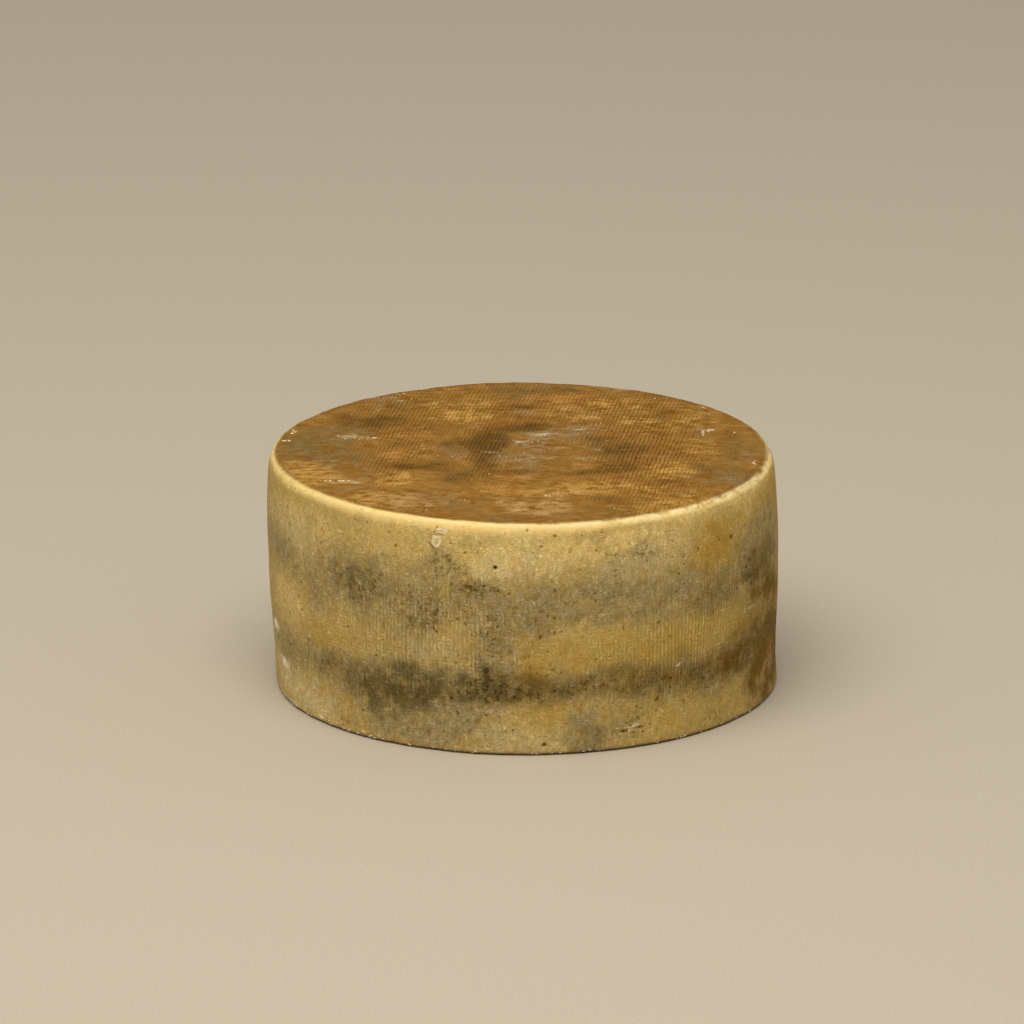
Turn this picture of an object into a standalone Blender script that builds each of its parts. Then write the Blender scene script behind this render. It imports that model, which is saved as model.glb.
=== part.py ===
"""A whole wheel of aged sheep's-milk cheese, standing on its flat underside.

Metres, +Z up. The origin is the middle of the underside, and the side of the rind that is
seen most faces -Y. The wheel is one solid: a turned form that leans, bulges and is worn at
the rim as a hand-turned cheese is, with nicks along its foot and pits in its rind.

An azimuth is the angle round the wheel from the front, positive towards +X.
"""

import math
import random

import bmesh
import bpy
from mathutils import Matrix, Vector, noise

MM = 0.001

# Driving dimensions
HEIGHT = 120 * MM
BELLY_RADIUS = 129.35 * MM
BELLY_HEIGHT = 73 * MM
TOP_RADIUS = 126.6 * MM
WAIST_RADIUS = 127.25 * MM
WAIST_HEIGHT = 14 * MM
RIM_FILLET = 2.8 * MM
FOOT_FILLET = 2.4 * MM

# The rim's round ends this many degrees above level, where the side goes on
RIM_END = 12

# How steeply the shoulder falls in above the belly, and the side below it
SHOULDER_POWER = 2.8
WAIST_POWER = 1.35

# How far the wheel departs from a true turned form
LEAN = 2.5 * MM
OVAL = 0.4 * MM
OVAL_AZIMUTH = math.radians(-45)
WAVE = 0.4 * MM
WAVE_LENGTH = 48 * MM
TOP_WAVE = 0.3 * MM
TOP_WAVE_LENGTH = 42 * MM
TOP_WAVE_FROM = 0.75
RIM_WEAR = 0.35 * MM
RIM_WEAR_UNEVEN = 0.6
RIM_WEAR_LENGTH = 28 * MM
RIM_WEAR_INWARD = 0.6
RIM_WEAR_RIGHT = 1.5 * MM
RIM_WEAR_AZIMUTH = math.radians(52)
RIM_WEAR_SPREAD = math.radians(38)
RIM_WEAR_REACH = 5 * MM
FOOT_SLUMP = 0.5 * MM
NICK_DEPTH = 0.9 * MM
NICK_LENGTH = 9 * MM
NICK_HEIGHT = 3.2 * MM
NICK_ROUGHNESS = 0.25
NICK_FINER = 2.3
NICK_REACH = 12 * MM

# How finely the form is divided
SEGMENTS = 112
TOP_RINGS = 6
TOP_RING_POWER = 0.8
SIDE_ROWS = 12
RIM_STEPS = 4
FOOT_STEPS = 3
BASE_RINGS = 2
MERGE_WITHIN = 0.00005

# The pits and gouges that show from a step away: azimuth in degrees, then in millimetres the
# height of the middle, the width, the height and the depth
PITS = [
    (-82, 34, 5.0, 10.0, 0.7),
    (-60, 62, 2.6, 4.4, 0.9),
    (-20, 110.5, 3.4, 5.0, 0.9),
    (-12, 87.5, 3.4, 3.2, 0.7),
    (-8.5, 44, 3.0, 4.0, 1.1),
    (-6, 98, 2.4, 2.4, 1.2),
    (4, 5.5, 3.0, 2.4, 1.1),
    (22.5, 9.5, 5.0, 2.2, 1.0),
    (26.5, 10.5, 4.4, 2.2, 1.0),
    (31, 23.5, 3.0, 3.4, 1.0),
    (54, 97.5, 2.4, 2.8, 1.2),
]

# The pits on the far side are scattered by rule
FAR_PITS = 12
FAR_AZIMUTHS = (85, 275)
FAR_HEIGHTS = (8, 108)
FAR_SIZES = (2.6, 4.6)
FAR_DEPTHS = (0.7, 1.2)
SCATTER_SEED = 7
PIT_SEGMENTS = 10
PIT_RINGS = 8

RIND_COLOUR = (0.40, 0.26, 0.085, 1.0)
RIND_ROUGHNESS = 0.58


def clear_scene():
    """Removes what the startup scene holds."""
    for obj in list(bpy.data.objects):
        bpy.data.objects.remove(obj, do_unlink=True)


def new_collection(name):
    collection = bpy.data.collections.new(name)
    bpy.context.scene.collection.children.link(collection)
    return collection


def smooth(t):
    """0 to 1 as t goes from 0 to 1, level at both ends."""
    t = min(max(t, 0.0), 1.0)
    return t * t * (3 - 2 * t)


def side_radius(z):
    """Radius of the true side at height z: widest at the belly, drawn in at the top and the waist."""
    if z >= BELLY_HEIGHT:
        t = (z - BELLY_HEIGHT) / (HEIGHT - BELLY_HEIGHT)
        return BELLY_RADIUS - (BELLY_RADIUS - TOP_RADIUS) * t**SHOULDER_POWER
    t = min((BELLY_HEIGHT - z) / (BELLY_HEIGHT - WAIST_HEIGHT), 1.0)
    return BELLY_RADIUS - (BELLY_RADIUS - WAIST_RADIUS) * smooth(t**WAIST_POWER)


def arc(middle, radius, start, end, steps):
    """Points on an arc, with its ends, as (radius, height). Angles are in degrees from level."""
    angles = [math.radians(start + (end - start) * i / steps) for i in range(steps + 1)]
    return [(middle[0] + radius * math.cos(a), middle[1] + radius * math.sin(a)) for a in angles]


def profile():
    """Half the outline as (radius, height), from the middle of the top down to the underside."""
    flat = side_radius(HEIGHT) - RIM_FILLET
    top = [(flat * (i / TOP_RINGS) ** TOP_RING_POWER, HEIGHT) for i in range(TOP_RINGS)]
    rim = arc((flat, HEIGHT - RIM_FILLET), RIM_FILLET, 90, RIM_END, RIM_STEPS)

    high, low = rim[-1][1], FOOT_FILLET
    heights = [high + (low - high) * i / SIDE_ROWS for i in range(1, SIDE_ROWS)]
    side = [(side_radius(z), z) for z in heights]

    base = side_radius(0) - FOOT_FILLET
    foot = arc((base, FOOT_FILLET), FOOT_FILLET, 0, -90, FOOT_STEPS)
    underside = [(base * (1 - i / BASE_RINGS), 0.0) for i in range(1, BASE_RINGS + 1)]
    return top + rim + side + foot + underside


def turned_mesh(points):
    """The mesh that a Screw modifier turns from the outline."""
    mesh = bpy.data.meshes.new("outline")
    mesh.from_pydata([(r, 0, z) for r, z in points], [(i, i + 1) for i in range(len(points) - 1)], [])
    outline = bpy.data.objects.new("outline", mesh)
    bpy.context.scene.collection.objects.link(outline)

    screw = outline.modifiers.new("turn", "SCREW")
    screw.steps = SEGMENTS
    screw.render_steps = SEGMENTS
    screw.use_merge_vertices = True
    screw.merge_threshold = MERGE_WITHIN

    turned = bpy.data.meshes.new_from_object(outline.evaluated_get(bpy.context.evaluated_depsgraph_get()))
    bpy.data.objects.remove(outline, do_unlink=True)
    bpy.data.meshes.remove(mesh)
    return turned


def rim_wear(azimuth, across):
    """How far the rim is rubbed down, most on the right of the front."""
    right = math.exp(-(((azimuth - RIM_WEAR_AZIMUTH) / RIM_WEAR_SPREAD) ** 2))
    uneven = 1 + RIM_WEAR_UNEVEN * noise.noise(across / RIM_WEAR_LENGTH)
    return RIM_WEAR * uneven + RIM_WEAR_RIGHT * right


def nick(azimuth):
    """How far the foot's edge is broken back at an azimuth."""
    around = Vector((math.sin(azimuth), math.cos(azimuth), 0)) * (WAIST_RADIUS / NICK_LENGTH)
    rough = noise.noise(around) + NICK_ROUGHNESS * noise.noise(around * NICK_FINER)
    return NICK_DEPTH * max(0.0, rough)


def as_aged(point):
    """Where a point of the true turned form lies on the real wheel."""
    radius = math.hypot(point.x, point.y)
    azimuth = math.atan2(point.x, -point.y)
    outward = Vector((math.sin(azimuth), -math.cos(azimuth), 0))
    share = point.z / HEIGHT

    # Long low waves in the side, and in the top only near its face
    wave = WAVE * noise.noise(point / WAVE_LENGTH) + OVAL * math.cos(2 * (azimuth - OVAL_AZIMUTH))
    slump = FOOT_SLUMP * max(0.0, math.sin(azimuth)) ** 3 * (1 - smooth(point.z / WAIST_HEIGHT))
    radial = (wave + slump) * radius / BELLY_RADIUS
    ripple = noise.noise(Vector((point.x, point.y, 1.0)) / TOP_WAVE_LENGTH)
    lift = TOP_WAVE * ripple * smooth((share - TOP_WAVE_FROM) / (1 - TOP_WAVE_FROM))

    # The worn rim, pressed in and down
    from_rim = math.hypot(radius - TOP_RADIUS, point.z - HEIGHT)
    rubbed = rim_wear(azimuth, point) * math.exp(-((from_rim / RIM_WEAR_REACH) ** 2))
    radial -= rubbed * RIM_WEAR_INWARD
    lift -= rubbed

    # The nicks along the foot
    if radius > WAIST_RADIUS - NICK_REACH:
        radial -= nick(azimuth) * (1 - smooth(point.z / NICK_HEIGHT))

    lean = Vector((LEAN * (0.5 - share), 0, 0))
    return point + outward * radial + Vector((0, 0, lift)) + lean


def place_over_origin(mesh):
    """Moves the mesh sideways until its bounds are centred on the origin."""
    xs = [v.co.x for v in mesh.vertices]
    ys = [v.co.y for v in mesh.vertices]
    middle = Vector(((min(xs) + max(xs)) / 2, (min(ys) + max(ys)) / 2, 0))
    mesh.transform(Matrix.Translation(-middle))


def far_pits():
    """Pits for the side that faces away, as rows of the same kind as PITS."""
    draw = random.Random(SCATTER_SEED)
    step = (FAR_AZIMUTHS[1] - FAR_AZIMUTHS[0]) / FAR_PITS
    rows = []
    for i in range(FAR_PITS):
        azimuth = FAR_AZIMUTHS[0] + step * (i + draw.uniform(0.2, 0.8))
        height = draw.uniform(*FAR_HEIGHTS)
        width = draw.uniform(*FAR_SIZES)
        tall = draw.uniform(*FAR_SIZES)
        rows.append((azimuth, height, width, tall, draw.uniform(*FAR_DEPTHS)))
    return rows


def surface_point(wheel, azimuth, height):
    """The point of the wheel's side at an azimuth and height."""
    outward = Vector((math.sin(azimuth), -math.cos(azimuth), 0))
    start = outward * BELLY_RADIUS * 2 + Vector((0, 0, height))
    found, where, _, _ = wheel.ray_cast(start, -outward)
    assert found, "the pit misses the wheel"
    return where


def pit_cutter(wheel, name, row):
    """A flattened ball whose inner cap is the shape of a pit."""
    degrees, height, width, tall, depth = row
    azimuth = math.radians(degrees)
    where = surface_point(wheel, azimuth, height * MM)
    ball = bmesh.new()
    bmesh.ops.create_uvsphere(ball, u_segments=PIT_SEGMENTS, v_segments=PIT_RINGS, radius=1.0)
    size = Matrix.Diagonal((width / 2 * MM, depth * MM, tall / 2 * MM, 1))
    bmesh.ops.transform(ball, matrix=size, verts=ball.verts)
    mesh = bpy.data.meshes.new(name)
    ball.to_mesh(mesh)
    ball.free()

    cutter = bpy.data.objects.new(name, mesh)
    cutter.matrix_world = Matrix.Translation(where) @ Matrix.Rotation(azimuth, 4, "Z")
    cutter.hide_render = True
    cutter.display_type = "WIRE"
    return cutter


def rind_material():
    material = bpy.data.materials.new("rind")
    material.use_nodes = True
    shader = material.node_tree.nodes["Principled BSDF"]
    shader.inputs["Base Color"].default_value = RIND_COLOUR
    shader.inputs["Roughness"].default_value = RIND_ROUGHNESS
    shader.inputs["Metallic"].default_value = 0.0
    return material


def make_wheel(parts):
    """The wheel before its pits are cut."""
    mesh = turned_mesh(profile())
    mesh.name = "cheese_wheel"
    for vertex in mesh.vertices:
        vertex.co = as_aged(vertex.co)
    place_over_origin(mesh)
    mesh.materials.append(rind_material())
    wheel = bpy.data.objects.new("cheese_wheel", mesh)
    parts.objects.link(wheel)
    bpy.context.view_layer.update()
    return wheel


def cut_pits(wheel, cutters):
    for i, row in enumerate(PITS + far_pits()):
        cutters.objects.link(pit_cutter(wheel, f"pit_{i + 1}", row))
    cut = wheel.modifiers.new("pits", "BOOLEAN")
    cut.operation = "DIFFERENCE"
    cut.operand_type = "COLLECTION"
    cut.collection = cutters
    wheel.data.shade_smooth()
    wheel.data.set_sharp_from_angle(angle=math.radians(40))


def main():
    clear_scene()
    parts = new_collection("aged_sheep_cheese")
    cutters = new_collection("pit_cutters")
    wheel = make_wheel(parts)
    cut_pits(wheel, cutters)


main()
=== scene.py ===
"""The looks of a whole wheel of aged sheep's-milk cheese: its rind, a pale floor, light and camera.

Metres, +Z up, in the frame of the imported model. The side of the rind that is seen most faces -Y.
An azimuth is the angle round the wheel from the front, positive towards +X.
"""

import itertools
import math
import random

import bmesh
import bpy
import numpy as np
from mathutils import Matrix, Vector, noise
from mathutils.bvhtree import BVHTree


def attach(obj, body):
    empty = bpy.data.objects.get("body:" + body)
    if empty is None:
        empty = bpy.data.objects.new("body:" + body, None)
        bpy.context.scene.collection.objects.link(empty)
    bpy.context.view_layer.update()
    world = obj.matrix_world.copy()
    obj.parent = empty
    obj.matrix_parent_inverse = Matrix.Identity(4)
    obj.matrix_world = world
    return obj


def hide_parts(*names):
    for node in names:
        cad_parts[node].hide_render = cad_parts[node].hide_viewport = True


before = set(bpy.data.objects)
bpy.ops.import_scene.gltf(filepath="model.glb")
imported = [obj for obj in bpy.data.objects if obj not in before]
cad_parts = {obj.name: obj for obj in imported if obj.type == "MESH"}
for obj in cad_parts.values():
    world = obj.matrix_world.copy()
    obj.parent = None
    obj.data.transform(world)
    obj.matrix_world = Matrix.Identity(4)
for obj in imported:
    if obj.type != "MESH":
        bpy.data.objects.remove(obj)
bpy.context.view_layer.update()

MM = 0.001

# The wheel's true turned form, as the solid has it
HEIGHT = 120 * MM
BELLY_RADIUS = 129.35 * MM
BELLY_HEIGHT = 73 * MM
TOP_RADIUS = 126.6 * MM
WAIST_RADIUS = 127.25 * MM
WAIST_HEIGHT = 14 * MM
RIM_FILLET = 2.8 * MM
FOOT_FILLET = 2.4 * MM

# The rim's round ends this many degrees above level, where the side goes on
RIM_END = 12

# How steeply the shoulder falls in above the belly, and the side below it
SHOULDER_POWER = 2.8
WAIST_POWER = 1.35

# How far the wheel departs from it, as the solid does
LEAN = 2.5 * MM
OVAL = 0.4 * MM
OVAL_AZIMUTH = math.radians(-45)
WAVE = 0.4 * MM
WAVE_LENGTH = 48 * MM
TOP_WAVE = 0.3 * MM
TOP_WAVE_LENGTH = 42 * MM
TOP_WAVE_FROM = 0.75
RIM_WEAR = 0.35 * MM
RIM_WEAR_UNEVEN = 0.6
RIM_WEAR_LENGTH = 28 * MM
RIM_WEAR_INWARD = 0.6
RIM_WEAR_RIGHT = 1.5 * MM
RIM_WEAR_AZIMUTH = math.radians(52)
RIM_WEAR_SPREAD = math.radians(38)
RIM_WEAR_REACH = 5 * MM
FOOT_SLUMP = 0.5 * MM
NICK_DEPTH = 0.9 * MM
NICK_LENGTH = 9 * MM
NICK_HEIGHT = 3.2 * MM
NICK_ROUGHNESS = 0.25
NICK_FINER = 2.3
NICK_REACH = 12 * MM

# How finely the rind is divided
SEGMENTS = 512
FEWEST_SEGMENTS = 8
RING_STEP = 1.5 * MM
UNDERSIDE_STEP = 3 * MM
FILLET_STEPS = 5

# The pits and gouges that the solid has too: azimuth in degrees, then in millimetres the height
# of the middle, the width, the height and the depth
PITS = [
    (-82, 34, 5, 10, 0.7), (-60, 62, 2.6, 4.4, 0.9), (-20, 110.5, 3.4, 5, 0.9), (-12, 87.5, 3.4, 3.2, 0.7),
    (-8.5, 44, 3, 4, 1.1), (-6, 98, 2.4, 2.4, 1.2), (4, 5.5, 3, 2.4, 1.1), (22.5, 9.5, 5, 2.2, 1),
    (26.5, 10.5, 4.4, 2.2, 1), (31, 23.5, 3, 3.4, 1), (54, 97.5, 2.4, 2.8, 1.2),
]

# Those on the far side are scattered by rule, as in the solid
FAR_PITS = 12
FAR_AZIMUTHS = (85, 275)
FAR_HEIGHTS = (8, 108)
FAR_SIZES = (2.6, 4.6)
FAR_DEPTHS = (0.7, 1.2)
SCATTER_SEED = 7

# Small pits, which only the rind has, as rows of the same kind
SMALL_PITS = [
    (18.2, 114, 2, 1.6, 0.5), (10.7, 105.6, 1.4, 2.8, 0.5), (20.8, 93.6, 2, 1.6, 0.5),
    (38.6, 94.8, 2, 2.6, 0.6), (6.3, 44.6, 2, 2, 0.6), (4.4, 9.6, 2, 1.2, 0.5), (31, 64.1, 2.2, 2, 0.5),
    (26.6, 36.2, 2, 2.2, 0.6), (27, 20.2, 1.8, 1.8, 0.5), (-43.9, 5.8, 2, 1.6, 0.5),
    (-15.2, 47.1, 1.6, 2, 0.5), (-15.8, 68.9, 1.6, 1.8, 0.5), (-5.7, 67.1, 2, 1.4, 0.5),
    (-8.6, 88.2, 2.8, 1.4, 0.5), (-3, 84.6, 2.2, 2, 0.5), (-5.5, 32.5, 2.2, 1.6, 0.6),
    (-6.2, 28.5, 3, 1.8, 0.6), (-8.4, 36, 2, 2, 0.6), (1, 52, 1.4, 2.4, 0.4), (-7, 51.5, 2, 1.6, 0.5),
    (-0.8, 25.6, 2.4, 1, 0.5), (52, 65.5, 1.8, 1.6, 0.5), (-40, 103, 1.8, 2.2, 0.4),
    (36, 78, 1.6, 1.8, 0.4),
]

# The blister near the rim is two loops of raised skin: azimuth, height, width and how tall each is
BLISTERS = [(-19.4, 109.2, 5, 5.6), (-18, 114.6, 6, 2.6)]
BLISTER_REACH = 4.5 * MM
BLISTER_PROUD = 0.35 * MM

# Across it, as shares of its half size: where its skin ends and how softly, the middle and the width
# of its raised edge and of the dirt round its open lower left, and how open, whole and dirty it is
BLISTER_END = 1.3
BLISTER_SOFTNESS = 0.4
BLISTER_EDGE = 0.85
BLISTER_DIRT = 1.2
BLISTER_LINE = 0.22
BLISTER_OPENING = 0.6
BLISTER_OPEN = 0.8
BLISTER_WHOLE = 0.8
BLISTER_DIRTY = 0.6

# A pit at least this deep and no wider, in millimetres, is painted quite black: painted shade, which deep
# narrow pits get most of
DARKEST_DEPTH = 1.2
DARKEST_WIDTH = 2.6

# The painted shade of a pit ends here, as a share of its half size, over this much of it
PIT_SHADE_END = 1.05
PIT_SHADE_SOFTNESS = 0.7

# Faces within this reach of a pit are divided this many times more finely
REFINE_REACH = 1.1 * MM
REFINE_CUTS = 3

# Unevenness drawn over the mesh: how strong it is, how long in millimetres, its seed and its layers.
# The relief's lumps, crumples and rim and the ragged edges of the crust and the band are in metres.
UNEVENNESS = {
    "lumps": (0.24 * MM, 13, 20, 2),
    "crumples": (0.12 * MM, 5, 25, 2),
    "rim": (0.30 * MM, 4.5, 30, 2),
    "crust edge": (0.9 * MM, 11, 60, 3),
    "band edge": (1.6 * MM, 9, 64, 3),
    "pit edge": (0.30, 1.5, 70, 2),
    "blister shape": (0.45, 2.0, 75, 3),
    "blister gaps": (1.4, 1.3, 78, 2),
}
ROUGH_RIM_REACH = 3.5 * MM
FLAT_BELOW = 2.5 * MM

# How many random values the unevenness draws on
LATTICE = 1024

# Where the brown crust of the flat faces ends, and how the pale rim eats into it on the left of the
# front. A place round the wheel is an azimuth and how far it spreads, in degrees.
CRUST_RADIUS = 125.9 * MM
CRUST_SOFTNESS = 1.3 * MM
PALE_RIM_WIDTH = 3.2 * MM
PALE_RIM_SOFTNESS = 1.6 * MM
PALE_RIM_AT = (-45, 52)

# The cream band under the rim: how tall it is, how much taller about the middle of the front, and
# how much fainter at the left
BAND_TALL = 2.6 * MM
BAND_TALLER = 5.0 * MM
BAND_AT = (-8, 32)
BAND_TOP = 118.6 * MM
BAND_FAINT = 0.4
BAND_FAINT_AT = (-80, 32)

# Where the worn rim shows its pale paste, with a painted highlight over it, a line that is brightest on the
# right of the front
PASTE_AND_HIGHLIGHT_REACH = 3.2 * MM
PASTE_AND_HIGHLIGHT_SOFTNESS = 2.2 * MM
PASTE_AND_HIGHLIGHT_AT = (45, 50)
PASTE_AND_HIGHLIGHT_LEAST = 0.20
PASTE_AND_HIGHLIGHT_LEFT_END = math.radians(-110)
PASTE_AND_HIGHLIGHT_RIGHT_END = math.radians(150)

# The dark line within the crust's edge
BRINK_INSIDE = 2.5 * MM
BRINK_WIDTH = 1.8 * MM

# How far and in what lengths the stains are pushed about, along and then across, in millimetres
PUSHES = ((6.0, 26), (4.0, 9), (5.0, 24), (3.5, 8))
SIDE_PUSH_SEED = 40
TOP_PUSH_SEED = 80

# How quickly a stain fades towards its edge
FADE = 0.8
FADE_POWER = 1.3

# Rows: azimuth in degrees, height, half width round the wheel and half height in millimetres, and
# strength in per cent
SIDE_STAINS = {
    "mould": [
        (-86, 84, 26, 13, 60), (-70, 84, 20, 9, 80), (-60, 78, 16, 7, 40), (-51, 80, 16, 13, 60),
        (-44, 86, 14, 12, 55), (-38, 78, 13, 15, 80), (-30, 80, 14, 12, 60), (-24, 74, 14, 13, 80),
        (-18, 92, 13, 13, 65), (-12, 82, 15, 11, 80), (-6, 62, 11, 24, 75), (2, 70, 14, 11, 80),
        (8, 79, 24, 11, 80), (21, 79, 20, 12, 80), (28, 98, 10, 8, 40), (36, 76, 22, 12, 80),
        (48, 74, 18, 12, 70), (60, 80, 22, 18, 65), (72, 88, 28, 18, 60), (84, 80, 24, 22, 45),
        (-25, 58, 22, 9, 35), (-51, 69, 10, 8, 60), (-80, 56, 12, 14, 25), (-8, 46, 12, 9, 50),
        (-82, 34, 16, 9, 50), (-70, 32, 22, 10, 75), (-54, 33, 20, 10, 85), (-40, 32, 22, 12, 85),
        (-28, 33, 26, 13, 100), (-12, 33, 24, 12, 90), (-17, 24, 18, 10, 70), (4, 34, 20, 9, 75),
        (20, 35, 22, 9, 65), (36, 33, 22, 11, 65), (50, 33, 20, 12, 75), (62, 32, 18, 16, 50),
        (-32, 15, 14, 13, 90), (-24, 11, 17, 13, 90), (-14, 14, 11, 9, 60), (14, 9, 11, 13, 90),
        (24, 14, 13, 8, 40), (49, 6, 12, 6, 35), (48, 20, 10, 7, 40), (60, 14, 12, 10, 35),
        (-4, 8, 22, 9, 30), (-46, 10, 18, 9, 25),
    ],
    "murk": [
        (-39, 81, 18, 13, 38), (-43, 84, 14, 8, 22), (-24, 69, 11, 6, 45), (-31, 31, 32, 11, 72),
        (-22, 35, 19, 10, 65), (-9, 36, 15, 8, 70), (-9, 46, 6, 6, 45), (-2, 31, 16, 7, 60),
        (2, 69, 11, 6, 30), (-18, 98, 7, 7, 25), (-11, 86, 10, 5, 30), (9, 34, 10, 7, 50),
        (27, 32, 11, 7, 40), (41, 30, 13, 9, 45), (60, 30, 16, 10, 40), (62, 76, 18, 9, 45),
        (70, 39, 20, 8, 35), (75, 78, 18, 10, 25), (-36, 18, 10, 9, 25), (-30, 21, 18, 7, 45),
        (-6, 66, 8, 14, 20), (14, 8, 8, 8, 30), (-52, 34, 16, 6, 20), (57, 74, 8, 6, 35),
    ],
    # The brown rows on the right, from about 60 to 85 degrees, are partly real browning and partly painted
    # shade on the side that faces away from the light
    "brown_and_shade": [
        (3, 36, 16, 9, 45), (47, 71, 16, 10, 40), (64, 62, 20, 12, 50), (74, 46, 20, 20, 65),
        (72, 24, 26, 15, 90), (80, 28, 18, 20, 70), (36, 34, 24, 10, 50), (-46, 34, 16, 8, 35),
        (82, 58, 18, 14, 40), (68, 8, 18, 10, 50), (54, 34, 20, 12, 75), (20, 36, 20, 8, 50),
        (68, 78, 24, 14, 45), (-4, 32, 18, 10, 30), (82, 10, 20, 12, 50), (66, 33, 18, 12, 60),
        (-66, 31, 18, 6, 25),
    ],
    "gold": [
        (9, 58, 20, 12, 75), (24, 52, 24, 12, 80), (36, 54, 24, 13, 90), (52, 50, 22, 12, 80),
        (-66, 52, 18, 12, 40), (-50, 46, 22, 11, 70), (-36, 62, 14, 10, 40), (0, 45, 12, 10, 80),
        (5, 19, 20, 9, 70), (33, 14, 20, 11, 80), (46, 12, 18, 11, 75), (-43, 12, 12, 10, 60),
        (58, 12, 18, 11, 65), (-12, 50, 9, 9, 50), (-30, 107, 50, 7, 45), (52, 106, 40, 10, 65),
        (80, 106, 30, 14, 90), (-80, 110, 26, 10, 60), (28, 26, 60, 8, 45), (-62, 117, 26, 5, 50),
    ],
    "amber": [
        (48, 92, 16, 15, 100), (43, 100, 13, 8, 25), (58, 107, 30, 6, 30), (36, 45, 15, 7, 40),
        (1, 44, 9, 9, 50), (20, 44, 22, 6, 30), (-50, 44, 14, 6, 35), (78, 104, 24, 9, 50),
        (6, 24, 16, 6, 30), (56, 46, 16, 7, 35), (-82, 112, 18, 6, 35),
    ],
    "butter": [
        (-60, 106, 40, 8, 40), (-25, 107, 40, 8, 60), (0, 104, 36, 11, 75), (22, 107, 36, 8, 80),
        (42, 107, 22, 9, 85), (64, 110, 30, 9, 85), (-66, 57, 18, 10, 85), (12, 62, 16, 7, 60),
        (-48, 11, 16, 9, 40), (0, 12, 18, 8, 50), (30, 12, 18, 8, 40), (24, 55, 20, 8, 40),
    ],
    "bloom": [
        (-78, 100, 18, 10, 45), (-60, 95, 20, 12, 60), (-62, 12, 26, 11, 72), (-74, 18, 18, 9, 50),
        (-56, 5, 20, 6, 50), (25, 90, 18, 9, 60), (33, 98, 16, 9, 50), (0, 6, 18, 6, 50),
        (-20, 57, 16, 10, 50), (-22, 5, 16, 5, 60), (42, 103, 10, 7, 40), (-66, 54, 18, 9, 45),
        (-79, 34, 8, 6, 90), (86, 88, 14, 18, 30), (-3, 98, 30, 10, 50), (-6, 10, 16, 6, 30),
        (48, 106, 18, 8, 40),
    ],
    "white": [
        (-78, 37, 8, 3, 100), (-72, 22, 6, 1.8, 100), (-70, 4, 12, 2, 40), (36.4, 39.4, 1, 0.8, 100),
        (-17, 24, 5, 0.5, 40), (-10, 22.5, 9, 0.5, 50), (-20, 20.5, 7, 0.5, 35), (25, 12.8, 3, 0.6, 70),
        (28, 8.6, 3, 0.6, 60), (21, 10, 2, 0.6, 50), (38, 64, 2, 0.7, 50), (61, 56, 5, 1, 40),
    ],
}

# The bands that the far side is stained in: kind, height and half height in millimetres, and how often
FAR_BANDS = [
    ("bloom", 96, 9, 0.4), ("bloom", 9, 8, 0.4), ("gold", 54, 13, 0.8), ("gold", 107, 8, 0.5),
    ("gold", 15, 10, 0.5), ("amber", 92, 12, 0.2), ("amber", 46, 7, 0.3), ("mould", 80, 13, 0.9),
    ("mould", 33, 11, 0.95), ("mould", 12, 12, 0.4), ("brown_and_shade", 38, 12, 0.35), ("murk", 31, 9, 0.5),
    ("murk", 76, 8, 0.3),
]
FAR_STAINS = (98, 262)
FAR_STAIN_STEP = 12
FAR_STAIN_SHIFT = 5
FAR_STAIN_WIDTHS = (12, 25)
FAR_STAIN_HEIGHTS = (0.7, 1.3)
FAR_STAIN_STRENGTHS = (50, 95)
FAR_STAIN_SEED = 19

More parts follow.
